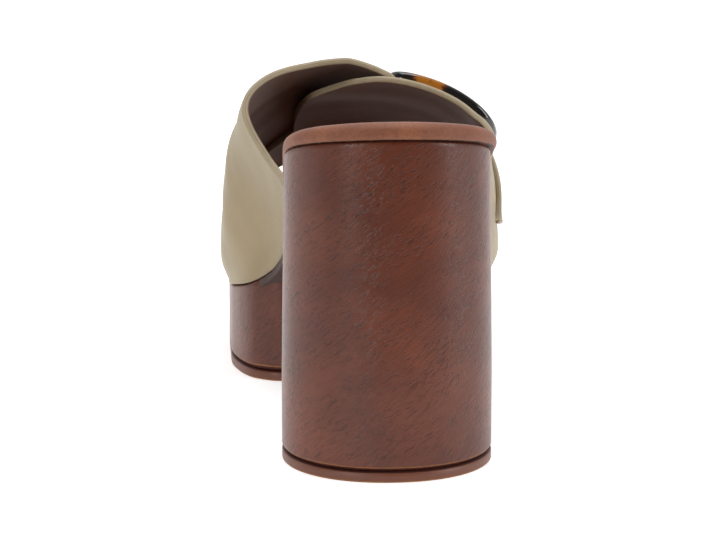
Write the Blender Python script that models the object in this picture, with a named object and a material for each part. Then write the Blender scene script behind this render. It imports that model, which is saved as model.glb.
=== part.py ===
"""Right platform mule: wood-grain heel and platform blocks, rolled footbed, two crossing
straps and a buckle.

Metres. X points to the little-toe side, Y to the toe and Z up. The origin is the middle of
the heel's ground face. A station is a distance along Y from the heel's back.
"""
import math
from collections import namedtuple

import bmesh
import bpy
from mathutils import Vector

# Driving sizes
SHOE_LENGTH = 0.236
BALL_WIDTH = 0.089
HEEL_WIDTH = 0.064
HEEL_LENGTH = 0.061
HEEL_HEIGHT = 0.1039
PLATFORM_HEIGHT = 0.024
ARCH_SPAN = 0.061
PLATFORM_CORNER = 0.006
TOE_SPRING = 0.007
TOE_FLAT = 0.046
TOE_TIP_SHIFT = 0.008

# Ground layers
SOLE_THICKNESS = 0.0034
SOLE_EDGE = 0.0005
GROOVE_DEPTH = 0.0009
GROOVE_CHAMFER = 0.0011
HEEL_FOOT_INSET = -0.0003
HEEL_HEAD_INSET = 0.0008

# Footbed and insole board
RIM_HEIGHT = 0.0050
RIM_BULGE = 0.0010
FOOTBED_DISH = 0.0022
BOARD_THICKNESS = 0.0024
BOARD_INSET = 0.0004

# Straps: the space inside them, their walls and the margins lasted under the footbed
INSTEP_HEIGHT = 0.060
STRAP_BULGE = 0.0112
OUTER_STRAP = 0.0023
INNER_STRAP = 0.0022
STRAP_SEAM = 0.0007
OUTER_STRAP_ARCH = 0.0045
MARGIN_WIDTH = 0.011
MARGIN_THICKNESS = 0.0020
MARGIN_LIFT = 0.0002

# Buckle, measured on the inside form, and the strap's width where it runs through it
STRAP_AT_BUCKLE = 0.033
STRAP_SIDE_CLEARANCE = 0.0015
BUCKLE_GIRTH = 0.035
BUCKLE_CORNER = 0.007
BUCKLE_BAR = 0.006
BUCKLE_THICKNESS = 0.005
BUCKLE_PLACE = 0.652
PIN_WIDTH = 0.005
PIN_THICKNESS = 0.0028
HUMP_RUN = 0.0062

GAP = 0.0003

# Sections. "along" is a share of SHOE_LENGTH.
# Plan outline: half widths as shares of a width that goes from the heel's to the ball's.
Outline = namedtuple("Outline", "along spread medial lateral")
OUTLINE = [
    Outline(0.000, 0.00, 0.955, 1.000),
    Outline(0.131, 0.00, 0.950, 1.000),
    Outline(0.258, 0.00, 0.920, 0.985),
    Outline(0.398, 0.00, 0.885, 0.940),
    Outline(0.475, 0.35, 0.820, 0.930),
    Outline(0.500, 0.50, 0.835, 0.928),
    Outline(0.524, 0.60, 0.895, 0.948),
    Outline(0.551, 0.70, 0.985, 0.965),
    Outline(0.585, 0.80, 1.030, 0.980),
    Outline(0.614, 0.88, 1.042, 0.988),
    Outline(0.661, 1.00, 1.018, 0.993),
    Outline(0.729, 1.00, 1.018, 0.989),
    Outline(0.801, 1.00, 1.011, 0.921),
    Outline(0.847, 1.00, 0.973, 0.838),
    Outline(1.000, 1.00, 0.900, 0.674),
]
TOE_ROUNDING = 0.847
HEEL_ROUNDNESS = 2.1

# Bed line, the top of the blocks: climb is a share of the heel's height over the platform's.
Bed = namedtuple("Bed", "along climb")
BED = [
    Bed(0.000, 1.000),
    Bed(0.064, 0.951),
    Bed(0.127, 0.889),
    Bed(0.212, 0.778),
    Bed(0.297, 0.630),
    Bed(0.381, 0.460),
    Bed(0.466, 0.277),
    Bed(0.508, 0.183),
    Bed(0.551, 0.104),
    Bed(0.593, 0.069),
    Bed(0.636, 0.043),
    Bed(0.678, 0.020),
    Bed(0.742, 0.001),
    Bed(0.847, -0.004),
    Bed(0.932, 0.012),
    Bed(1.000, 0.049),
]

# Inside form of the straps: bulges are shares of STRAP_BULGE, heights of INSTEP_HEIGHT,
# the ridge's shift of half the ball width, and full is the exponent of the upper quarters.
Form = namedtuple("Form", "along medial_bulge lateral_bulge medial_height lateral_height rise ridge full")
FORM = [
    Form(0.297, 0.92, 0.70, 0.617, 0.400, 0.720, -0.135, 2.10),
    Form(0.381, 1.04, 0.76, 0.640, 0.400, 0.830, -0.135, 2.20),
    Form(0.445, 1.20, 0.71, 0.650, 0.430, 0.914, -0.135, 2.26),
    Form(0.508, 1.14, 0.60, 0.590, 0.425, 0.988, -0.135, 2.34),
    Form(0.551, 0.68, 0.44, 0.433, 0.383, 1.035, -0.135, 2.40),
    Form(0.593, 0.36, 0.36, 0.290, 0.260, 1.005, -0.130, 2.50),
    Form(0.636, 0.27, 0.34, 0.200, 0.200, 0.957, -0.120, 2.50),
    Form(0.678, 0.24, 0.33, 0.155, 0.180, 0.895, -0.110, 2.50),
    Form(0.742, 0.24, 0.31, 0.150, 0.165, 0.783, -0.110, 2.45),
    Form(0.805, 0.26, 0.31, 0.150, 0.150, 0.642, -0.110, 2.40),
    Form(0.869, 0.28, 0.31, 0.150, 0.150, 0.525, -0.110, 2.30),
]
SWELL = 1.1

# Strap edges: girth runs from 0 at the medial base to 1 at the lateral base, and rear and
# front are the two edges' stations as shares of SHOE_LENGTH. Narrow takes the edges from
# there to the width that runs through the buckle.
Edge = namedtuple("Edge", "girth rear front narrow")
OUTER_EDGES = [
    Edge(0.000, 0.305, 0.754, 0.00),
    Edge(0.080, 0.341, 0.742, 0.00),
    Edge(0.140, 0.368, 0.733, 0.00),
    Edge(0.200, 0.384, 0.724, 0.00),
    Edge(0.250, 0.398, 0.716, 0.00),
    Edge(0.330, 0.428, 0.706, 0.00),
    Edge(0.420, 0.455, 0.698, 0.00),
    Edge(0.500, 0.452, 0.692, 0.00),
    Edge(0.530, 0.448, 0.689, 0.00),
    Edge(0.555, 0.447, 0.686, 0.08),
    Edge(0.580, 0.450, 0.682, 0.60),
    Edge(0.600, 0.462, 0.680, 0.98),
    Edge(0.640, 0.470, 0.676, 1.00),
    Edge(0.750, 0.475, 0.676, 1.00),
    Edge(0.845, 0.475, 0.676, 1.00),
]
BUCKLE_ALONG = 0.606
TAIL_TIP = 0.880
TAIL_TIP_FLAT = 0.35
INNER_EDGES = [
    Edge(0.000, 0.690, 0.860, 0.00),
    Edge(0.100, 0.690, 0.835, 0.00),
    Edge(0.200, 0.688, 0.808, 0.00),
    Edge(0.300, 0.683, 0.785, 0.00),
    Edge(0.360, 0.665, 0.776, 0.00),
    Edge(0.380, 0.588, 0.770, 0.00),
    Edge(0.400, 0.545, 0.768, 0.00),
    Edge(0.425, 0.503, 0.766, 0.00),
    Edge(0.455, 0.482, 0.762, 0.00),
    Edge(0.490, 0.462, 0.759, 0.00),
    Edge(0.560, 0.443, 0.756, 0.00),
    Edge(0.640, 0.440, 0.757, 0.00),
    Edge(0.730, 0.418, 0.765, 0.00),
    Edge(0.780, 0.386, 0.772, 0.00),
    Edge(0.830, 0.360, 0.780, 0.00),
    Edge(0.920, 0.335, 0.798, 0.00),
    Edge(1.000, 0.318, 0.818, 0.00),
]
INNER_BASE_RAISE = 0.003
BASE_TURN = 0.06
ARCH_GIRTH = (0.14, 0.47, 0.566)
ARCH_REACH = (0.475, 0.630)

# Mesh steps
BLOCK_STATIONS = 26
FOOTBED_STATIONS = 40
SECTION_SAMPLES = 64
OUTER_ROWS = 46
ROW_CLEARANCE = 0.4
INNER_ROWS = 42
STRAP_COLUMNS = 16
BUCKLE_RING = 40
BUCKLE_SECTION = 10


def lerp(a, b, share):
    return a + (b - a) * share


def smooth(share):
    share = min(1.0, max(0.0, share))
    return share * share * (3.0 - 2.0 * share)


def curve(rows, column, x):
    """Smooth value of a table's column at x, read along its first column with no overshoot."""
    xs = [row[0] for row in rows]
    ys = [getattr(row, column) for row in rows]
    if x <= xs[0]:
        return ys[0]
    if x >= xs[-1]:
        return ys[-1]
    slopes = [(ys[i + 1] - ys[i]) / (xs[i + 1] - xs[i]) for i in range(len(xs) - 1)]

    def tangent(i):
        if i == 0:
            return slopes[0]
        if i == len(xs) - 1:
            return slopes[-1]
        before, after = slopes[i - 1], slopes[i]
        if before * after <= 0.0:
            return 0.0
        w1 = 2.0 * (xs[i + 1] - xs[i]) + xs[i] - xs[i - 1]
        w2 = xs[i + 1] - xs[i] + 2.0 * (xs[i] - xs[i - 1])
        return (w1 + w2) / (w1 / before + w2 / after)

    i = max(k for k in range(len(xs) - 1) if xs[k] <= x)
    width = xs[i + 1] - xs[i]
    t = (x - xs[i]) / width
    return (
        (2 * t**3 - 3 * t**2 + 1) * ys[i]
        + (t**3 - 2 * t**2 + t) * width * tangent(i)
        + (3 * t**2 - 2 * t**3) * ys[i + 1]
        + (t**3 - t**2) * width * tangent(i + 1)
    )


def y_of(station):
    return station - HEEL_LENGTH / 2.0


def bed(station):
    """Height of the blocks' top."""
    return PLATFORM_HEIGHT + (HEEL_HEIGHT - PLATFORM_HEIGHT) * curve(BED, "climb", station / SHOE_LENGTH)


def floor_line(station):
    """Height of the sole's underside, with the toe spring."""
    start = SHOE_LENGTH - TOE_FLAT
    if station <= start:
        return 0.0
    return TOE_SPRING * ((station - start) / TOE_FLAT) ** 1.8


def half_widths(station):
    """Medial and lateral half widths of the plan before the ends are rounded."""
    along = station / SHOE_LENGTH
    width = lerp(HEEL_WIDTH, BALL_WIDTH, curve(OUTLINE, "spread", along)) / 2.0
    return width * curve(OUTLINE, "medial", along), width * curve(OUTLINE, "lateral", along)


def toe_rounded(station, medial, lateral):
    start = TOE_ROUNDING * SHOE_LENGTH
    if station <= start:
        return medial, lateral
    t = min(1.0, (station - start) / (SHOE_LENGTH - start))
    share = math.sqrt(max(0.0, 1.0 - t**2.1))
    return lerp(TOE_TIP_SHIFT, medial, share), lerp(-TOE_TIP_SHIFT, lateral, share)


def footbed_outline(station):
    """Left and right x of the footbed at a station, rounded at heel and toe."""
    medial, lateral = toe_rounded(station, *half_widths(station))
    back = HEEL_LENGTH / 2.0
    if station < back:
        share = max(0.0, 1.0 - (1.0 - station / back) ** HEEL_ROUNDNESS) ** (1.0 / HEEL_ROUNDNESS)
        medial, lateral = medial * share, lateral * share
    return -medial, lateral


def heel_outline(station):
    """Left and right x of the heel column's round section."""
    half = HEEL_LENGTH / 2.0
    share = max(0.0, 1.0 - abs(1.0 - station / half) ** HEEL_ROUNDNESS) ** (1.0 / HEEL_ROUNDNESS)
    return -HEEL_WIDTH / 2.0 * share, HEEL_WIDTH / 2.0 * share


def platform_outline(station):
    """Left and right x of the platform, with rounded corners at its rear end."""
    medial, lateral = toe_rounded(station, *half_widths(station))
    depth = (station - HEEL_LENGTH - ARCH_SPAN) / PLATFORM_CORNER
    if depth < 1.0:
        cut = PLATFORM_CORNER * (1.0 - math.sqrt(max(0.0, 1.0 - (1.0 - depth) ** 2)))
        medial, lateral = medial - cut, lateral - cut
    return -medial, lateral


def end_spaced(first, last, count):
    """Stations from first to last, closer together near both ends."""
    return [lerp(first, last, 0.5 - 0.5 * math.cos(math.pi * i / (count - 1))) for i in range(count)]


def new_object(name, bm, smooth_angle=None):
    bmesh.ops.remove_doubles(bm, verts=bm.verts, dist=1e-7)
    bmesh.ops.recalc_face_normals(bm, faces=bm.faces)
    bmesh.ops.triangulate(bm, faces=bm.faces)
    mesh = bpy.data.meshes.new(name)
    bm.to_mesh(mesh)
    bm.free()
    obj = bpy.data.objects.new(name, mesh)
    bpy.context.scene.collection.objects.link(obj)
    if smooth_angle is not None:
        mesh.shade_smooth()
        mesh.set_sharp_from_angle(angle=math.radians(smooth_angle))
    return obj


def cutter(obj):
    obj.hide_render = True
    obj.display_type = "WIRE"
    return obj


def boolean(obj, other, operation):
    modifier = obj.modifiers.new(other.name, "BOOLEAN")
    modifier.object = other
    modifier.operation = operation
    modifier.solver = "EXACT"
    modifier.use_self = operation == "UNION"


def layered(name, stations, outline, levels, columns=(), crown=None, smooth_angle=35.0):
    """A closed block: the outline's rings at each level, from the lowest up.

    A level is (inset, height), where height is a function of the station. The columns are
    shares across both caps where the caps get points of their own, and crown(station,
    share) lifts the upper cap there.
    """
    bm = bmesh.new()
    sides = [outline(s) for s in stations]
    left = [Vector((x, y_of(s))) for (x, _), s in zip(sides, stations)]
    right = [Vector((x, y_of(s))) for (_, x), s in zip(sides, stations)]
    single = [(b - a).length < 1e-6 for a, b in zip(left, right)]
    ring = [(i, 0) for i in range(len(stations))]
    ring += [(i, 1) for i in reversed(range(len(stations))) if not single[i]]
    flat = [(left, right)[side][i] for i, side in ring]
    normals = []
    for k in range(len(ring)):
        along = flat[(k + 1) % len(ring)] - flat[k - 1]
        normals.append(Vector((along.y, -along.x)).normalized())
    rows = []
    for inset, height in levels:
        row = []
        for k, (i, _) in enumerate(ring):
            place = flat[k] + normals[k] * inset
            row.append(bm.verts.new((place.x, place.y, height(stations[i]))))
        rows.append(row)
    for low, high in zip(rows, rows[1:]):
        for k in range(len(ring)):
            n = (k + 1) % len(ring)
            bm.faces.new((low[k], low[n], high[n], high[k]))
    place_of = {key: k for k, key in enumerate(ring)}
    for row, lift in ((rows[0], None), (rows[-1], crown)):
        cross = []
        for i, s in enumerate(stations):
            a = row[place_of[(i, 0)]]
            if single[i]:
                cross.append([a])
                continue
            b = row[place_of[(i, 1)]]
            inner = []
            for share in columns:
                point = a.co.lerp(b.co, share)
                if lift:
                    point.z += lift(s, share)
                inner.append(bm.verts.new(point))
            cross.append([a, *inner, b])
        for one, two in zip(cross, cross[1:]):
            if len(one) == 1 or len(two) == 1:
                tip, row_verts = (one[0], two) if len(one) == 1 else (two[0], one)
                for p, q in zip(row_verts, row_verts[1:]):
                    bm.faces.new((tip, p, q))
                continue
            for k in range(len(one) - 1):
                bm.faces.new((one[k], one[k + 1], two[k + 1], two[k]))
    return new_object(name, bm, smooth_angle)


def column_levels(foot, head, shares_and_insets):
    """Levels between two heights, each at a share of the way up."""
    def height(share):
        return lambda s: lerp(foot(s), head(s), share)
    return [(inset, height(share)) for share, inset in shares_and_insets]


def make_heel():
    foot = SOLE_THICKNESS + GAP
    stations = end_spaced(0.0, HEEL_LENGTH, BLOCK_STATIONS)
    chamfer = GROOVE_CHAMFER / HEEL_HEIGHT
    shape = [
        (0.0, HEEL_FOOT_INSET + GROOVE_DEPTH),
        (chamfer, HEEL_FOOT_INSET),
        (0.25, HEEL_FOOT_INSET),
        (0.50, 0.0),
        (0.75, HEEL_HEAD_INSET * 0.5),
        (1.0, HEEL_HEAD_INSET),
    ]
    return layered("heel", stations, heel_outline, column_levels(lambda s: foot, bed, shape))


def make_heel_top_piece():
    stations = end_spaced(0.0, HEEL_LENGTH, BLOCK_STATIONS)
    levels = [
        (HEEL_FOOT_INSET + SOLE_EDGE, lambda s: 0.0),
        (HEEL_FOOT_INSET, lambda s: SOLE_EDGE),
        (HEEL_FOOT_INSET, lambda s: SOLE_THICKNESS - SOLE_EDGE),
        (HEEL_FOOT_INSET + SOLE_EDGE, lambda s: SOLE_THICKNESS),
    ]
    return layered("heel_top_piece", stations, heel_outline, levels)


def platform_stations():
    back = HEEL_LENGTH + ARCH_SPAN
    corner = [back + PLATFORM_CORNER * (1.0 - math.cos(math.radians(a))) for a in range(0, 90, 15)]
    middle = [lerp(back + PLATFORM_CORNER, TOE_ROUNDING * SHOE_LENGTH, i / 14.0) for i in range(14)]
    start = TOE_ROUNDING * SHOE_LENGTH
    toe = [lerp(start, SHOE_LENGTH, math.sin(math.radians(a))) for a in range(0, 91, 9)]
    return corner + middle + toe


def make_platform():
    def foot(s):
        return floor_line(s) + SOLE_THICKNESS + GAP
    chamfer = GROOVE_CHAMFER / PLATFORM_HEIGHT
    shape = [(0.0, GROOVE_DEPTH), (chamfer, 0.0), (0.5, 0.0), (1.0, 0.0)]
    return layered("platform", platform_stations(), platform_outline, column_levels(foot, bed, shape))


def make_outsole():
    levels = [
        (SOLE_EDGE, floor_line),
        (0.0, lambda s: floor_line(s) + SOLE_EDGE),
        (0.0, lambda s: floor_line(s) + SOLE_THICKNESS - SOLE_EDGE),
        (SOLE_EDGE, lambda s: floor_line(s) + SOLE_THICKNESS),
    ]
    return layered("outsole", platform_stations(), platform_outline, levels)


def sweep(name, stations, section, smooth_angle=35.0):
    """A closed solid swept along the stations; section(station) gives its corner points."""
    bm = bmesh.new()
    rows = [[bm.verts.new(p) for p in section(s)] for s in stations]
    for one, two in zip(rows, rows[1:]):
        for k in range(len(one)):
            n = (k + 1) % len(one)
            bm.faces.new((one[k], one[n], two[n], two[k]))
    bm.faces.new(rows[0])
    bm.faces.new(rows[-1])
    return new_object(name, bm, smooth_angle)


def base_span(side):
    """First and last station where straps stand on one side's base."""
    if side < 0:
        return OUTER_EDGES[0].rear * SHOE_LENGTH, INNER_EDGES[0].front * SHOE_LENGTH
    return INNER_EDGES[-1].rear * SHOE_LENGTH, INNER_EDGES[-1].front * SHOE_LENGTH


def side_x(station, side, inset):
    x = footbed_outline(station)[0 if side < 0 else 1]
    return x - side * inset


def make_strap_seat(side):
    """Cutter for the step in the footbed where one side's walls and margin lie."""
    first, last = base_span(side)
    wall = INNER_STRAP + (OUTER_STRAP - STRAP_SEAM if side < 0 else 0.0)
    margin_top = 2.0 * GAP + 2.0 * MARGIN_LIFT + MARGIN_THICKNESS
    clear = 0.010

    def section(s):
        y = y_of(s)
        low = bed(s) - clear
        step = bed(s) + margin_top
        high = bed(s) + 2.0 * clear
        inner = side_x(s, side, MARGIN_WIDTH + GAP)
        wall_in = side_x(s, side, wall + GAP)
        outer = side_x(s, side, -clear)
        margin = [(inner, low), (inner, step), (wall_in, step)]
        corners = margin + [(wall_in, high), (outer, high), (outer, low)]
        return [(x, y, z) for x, z in corners]

    count = 26
    reach = 2.0 * GAP
    stations = [lerp(first - reach, last + reach, i / (count - 1)) for i in range(count)]
    return cutter(sweep("seat_%s" % ("medial" if side < 0 else "lateral"), stations, section))


def make_footbed():
    """Padded insole with a rolled rim, dished on top, with a step where the straps go under."""
    def at(share):
        return lambda s: bed(s) + GAP + RIM_HEIGHT * share

    levels = [
        (0.0006, at(0.0)),
        (-RIM_BULGE * 0.6, at(0.14)),
        (-RIM_BULGE, at(0.42)),
        (-RIM_BULGE * 0.7, at(0.72)),
        (RIM_BULGE * 0.6, at(0.94)),
        (0.0028, at(1.0)),
    ]

    def crown(station, share):
        return -FOOTBED_DISH * math.sin(math.pi * share) ** 0.8

    back = end_spaced(0.0, SHOE_LENGTH, FOOTBED_STATIONS)
    footbed = layered("footbed", back, footbed_outline, levels, (0.08, 0.25, 0.5, 0.75, 0.92), crown)
    for side in (-1, 1):
        boolean(footbed, make_strap_seat(side), "DIFFERENCE")
    return footbed


def make_insole_board():
    """The covered board that closes the arch between the two blocks."""
    overlap = 0.018
    first = HEEL_LENGTH - overlap
    last = HEEL_LENGTH + ARCH_SPAN + overlap
    stations = [lerp(first, last, i / 27.0) for i in range(28)]

    def board_outline(s):
        x_left, x_right = footbed_outline(s)
        return x_left + BOARD_INSET, x_right - BOARD_INSET

    levels = [(0.0, lambda s: bed(s) - GAP - BOARD_THICKNESS), (0.0, lambda s: bed(s) - GAP)]
    board = layered("insole_board", stations, board_outline, levels)
    height = [(0.0, lambda s: 0.0), (0.0, lambda s: bed(s) + BOARD_THICKNESS)]

    def wider(outline, first_station, last_station):
        def grown(s):
            x_left, x_right = outline(min(max(s, first_station), last_station))
            return x_left - GAP, x_right + GAP
        return grown

    heel_stations = [-GAP] + end_spaced(0.0, HEEL_LENGTH, BLOCK_STATIONS)[1:-1] + [HEEL_LENGTH + GAP]
    heel_space = layered("heel_space", heel_stations, wider(heel_outline, 0.0, HEEL_LENGTH), height)
    back = HEEL_LENGTH + ARCH_SPAN
    front_stations = [back - GAP] + platform_stations()[1:20]
    front_outline = wider(platform_outline, back, SHOE_LENGTH)
    front_space = layered("platform_space", front_stations, front_outline, height)
    for space in (heel_space, front_space):
        boolean(board, cutter(space), "DIFFERENCE")
    return board


def form_section(station):
    """Points of the straps' inside form at a station, medial base to lateral base."""
    along = station / SHOE_LENGTH
    left, right = footbed_outline(station)
    base = bed(station) + GAP + MARGIN_LIFT
    wall = {-1: INNER_STRAP + OUTER_STRAP - STRAP_SEAM, 1: INNER_STRAP}
    ridge = curve(FORM, "ridge", along) * BALL_WIDTH / 2.0
    top = base + curve(FORM, "rise", along) * INSTEP_HEIGHT
    full = curve(FORM, "full", along)
    quarter = SECTION_SAMPLES // 4
    points = []
    for side, edge, name in ((-1, left, "medial"), (1, right, "lateral")):
        foot = edge - side * wall[side]
        wide = foot + side * STRAP_BULGE * curve(FORM, name + "_bulge", along)
        level = base + curve(FORM, name + "_height", along) * INSTEP_HEIGHT
        half = []
        for i in range(quarter):
            t = i / quarter
            half.append((lerp(foot, wide, smooth(t) ** SWELL), lerp(base, level, t)))
        for i in range(quarter + 1):
            angle = math.pi / 2.0 * i / quarter
            across = math.cos(angle) ** (2.0 / full) if i < quarter else 0.0
            half.append((lerp(ridge, wide, across), lerp(level, top, math.sin(angle) ** (2.0 / full))))
        points.append(half)
    both = points[0] + points[1][-2::-1]
    return [Vector((x, y_of(station), z)) for x, z in both]


def form_point(station, girth):
    """The inside form's point at a share of the girth, by length along the section."""
    section = form_section(station)
    lengths = [0.0]
    for a, b in zip(section, section[1:]):
        lengths.append(lengths[-1] + (b - a).length)
    target = min(1.0, max(0.0, girth)) * lengths[-1]
    for k in range(len(section) - 1):
        if lengths[k + 1] >= target:
            step = lengths[k + 1] - lengths[k]
            return section[k].lerp(section[k + 1], (target - lengths[k]) / step)
    return section[-1]


def form_girth(station):
    section = form_section(station)
    return sum((b - a).length for a, b in zip(section, section[1:]))


def on_form(station, girth, height):
    """A point at a height over the inside form, square to it and at the bases in the section."""
    place = form_point(station, girth)
    ds = 0.0015
    du = 0.006
    along = form_point(station + ds, girth) - form_point(station - ds, girth)
    along = Vector((0.0, 2.0 * ds, 0.0)).lerp(along, smooth(min(girth, 1.0 - girth) / BASE_TURN))
    around = form_point(station, min(1.0, girth + du)) - form_point(station, max(0.0, girth - du))
    return place + along.cross(around).normalized() * -height


def outer_lift(station, girth):
    """Height of the outer strap's underside over the form: seam, free arch and pin hump."""
    along = station / SHOE_LENGTH
    start, peak, end = ARCH_GIRTH
    if girth < peak:
        rising = smooth((girth - start) / (peak - start))
    else:
        rising = smooth((end - girth) / (end - peak))
    ahead, done = ARCH_REACH
    arch = OUTER_STRAP_ARCH * rising * (1.0 - smooth((along - ahead) / (done - ahead)))
    over_pin = PIN_THICKNESS + STRAP_SEAM + 2.0 * GAP
    run = abs(girth - BUCKLE_PLACE) * form_girth(buckle_station()) - PIN_WIDTH / 2.0 - GAP
    hump = over_pin * (1.0 - smooth(run / HUMP_RUN))
    return INNER_STRAP - STRAP_SEAM + arch + hump


def strap_rows(edges, count, fine=()):
    """Girth places of a strap's rows: evenly spaced, fine ones in place of their neighbours."""
    first, last = edges[0].girth, edges[-1].girth
    even = [lerp(first, last, i / (count - 1)) for i in range(count)]
    clear = ROW_CLEARANCE * (even[1] - even[0])
    return sorted([g for g in even if all(abs(g - f) > clear for f in fine)] + list(fine))


def hump_rows():
    """Rows where the outer strap rides over the pin bar."""
    girth = form_girth(buckle_station())
    runs = [PIN_WIDTH / 2.0 + GAP + HUMP_RUN * share for share in (0.0, 0.25, 0.5, 0.75, 1.0)]
    sides = [BUCKLE_PLACE + side * run / girth for side in (-1, 1) for run in runs]
    return sides + [BUCKLE_PLACE]


def buckle_station():
    return BUCKLE_ALONG * SHOE_LENGTH


def strap_line(edges, girth):
    """A strap's girth place with the stations of its rear and front edges."""
    narrow = curve(edges, "narrow", girth)
    half = STRAP_AT_BUCKLE / 2.0
    rear = lerp(curve(edges, "rear", girth) * SHOE_LENGTH, buckle_station() - half, narrow)
    front = lerp(curve(edges, "front", girth) * SHOE_LENGTH, buckle_station() + half, narrow)
    return girth, rear, front


def strap_sheet(name, edges, places, lift, thickness, end_rows=()):
    """One strap as a closed curved sheet between its two edges."""
    bm = bmesh.new()
    lines = [strap_line(edges, girth) for girth in places]
    lines += end_rows
    inner, outer = [], []
    for girth, rear, front in lines:
        stations = [lerp(rear, front, k / (STRAP_COLUMNS - 1)) for k in range(STRAP_COLUMNS)]
        inner.append([bm.verts.new(on_form(s, girth, lift(s, girth))) for s in stations])
        outer.append([bm.verts.new(on_form(s, girth, lift(s, girth) + thickness)) for s in stations])
    for sheet in (inner, outer):
        for one, two in zip(sheet, sheet[1:]):
            for k in range(STRAP_COLUMNS - 1):
                bm.faces.new((one[k], one[k + 1], two[k + 1], two[k]))
    for k in (0, STRAP_COLUMNS - 1):
        for i in range(len(lines) - 1):
            bm.faces.new((inner[i][k], inner[i + 1][k], outer[i + 1][k], outer[i][k]))
    for i in (0, len(lines) - 1):
        for k in range(STRAP_COLUMNS - 1):
            bm.faces.new((inner[i][k], inner[i][k + 1], outer[i][k + 1], outer[i][k]))
    return new_object(name, bm, 40.0)


def tail_rows():
    """Rows of the outer strap's rounded tail tip."""
    girth, rear, front = strap_line(OUTER_EDGES, OUTER_EDGES[-1].girth)
    middle = (rear + front) / 2.0
    rows = []
    for angle in (25.0, 45.0, 62.0, 78.0, 90.0):
        turn = math.radians(angle)
        half = (front - rear) / 2.0 * lerp(math.cos(turn), 1.0, TAIL_TIP_FLAT)
        rows.append((lerp(girth, TAIL_TIP, math.sin(turn)), middle - half, middle + half))
    return rows


def make_margin(side):
    """The flat leather margin lasted under the footbed on one side."""
    first, last = base_span(side)
    inside = INNER_STRAP / 2.0
    stations = [lerp(first + GAP, last - GAP, i / 25.0) for i in range(26)]

    def section(s):
        y = y_of(s)
        low = bed(s) + GAP + 2.0 * MARGIN_LIFT
        inner, outer = side_x(s, side, MARGIN_WIDTH), side_x(s, side, inside)
        high = low + MARGIN_THICKNESS
        corners = [(inner, low), (inner, high), (outer, high), (outer, low)]
        return [(x, y, z) for x, z in corners]

    return sweep("margin_%s" % ("medial" if side < 0 else "lateral"), stations, section)


def make_upper():
    """Both straps as one hollow solid, joined where they cross and by the lasted margins."""
    outer_places = strap_rows(OUTER_EDGES, OUTER_ROWS, hump_rows())
    inner_places = strap_rows(INNER_EDGES, INNER_ROWS)
    inner_places[0] += INNER_BASE_RAISE
    inner_places[-1] -= INNER_BASE_RAISE
    upper = strap_sheet("upper", OUTER_EDGES, outer_places, outer_lift, OUTER_STRAP, tail_rows())
    inner = strap_sheet("inner_strap", INNER_EDGES, inner_places, lambda s, u: 0.0, INNER_STRAP)
    for piece in (inner, make_margin(-1), make_margin(1)):
        boolean(upper, cutter(piece), "UNION")
    return upper


def on_buckle(across, along, height):
    """A point of the buckle from its place on the form: across the foot, along it and up."""
    girth = form_girth(buckle_station())
    return on_form(buckle_station() + along, BUCKLE_PLACE + across / girth, height)


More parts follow.
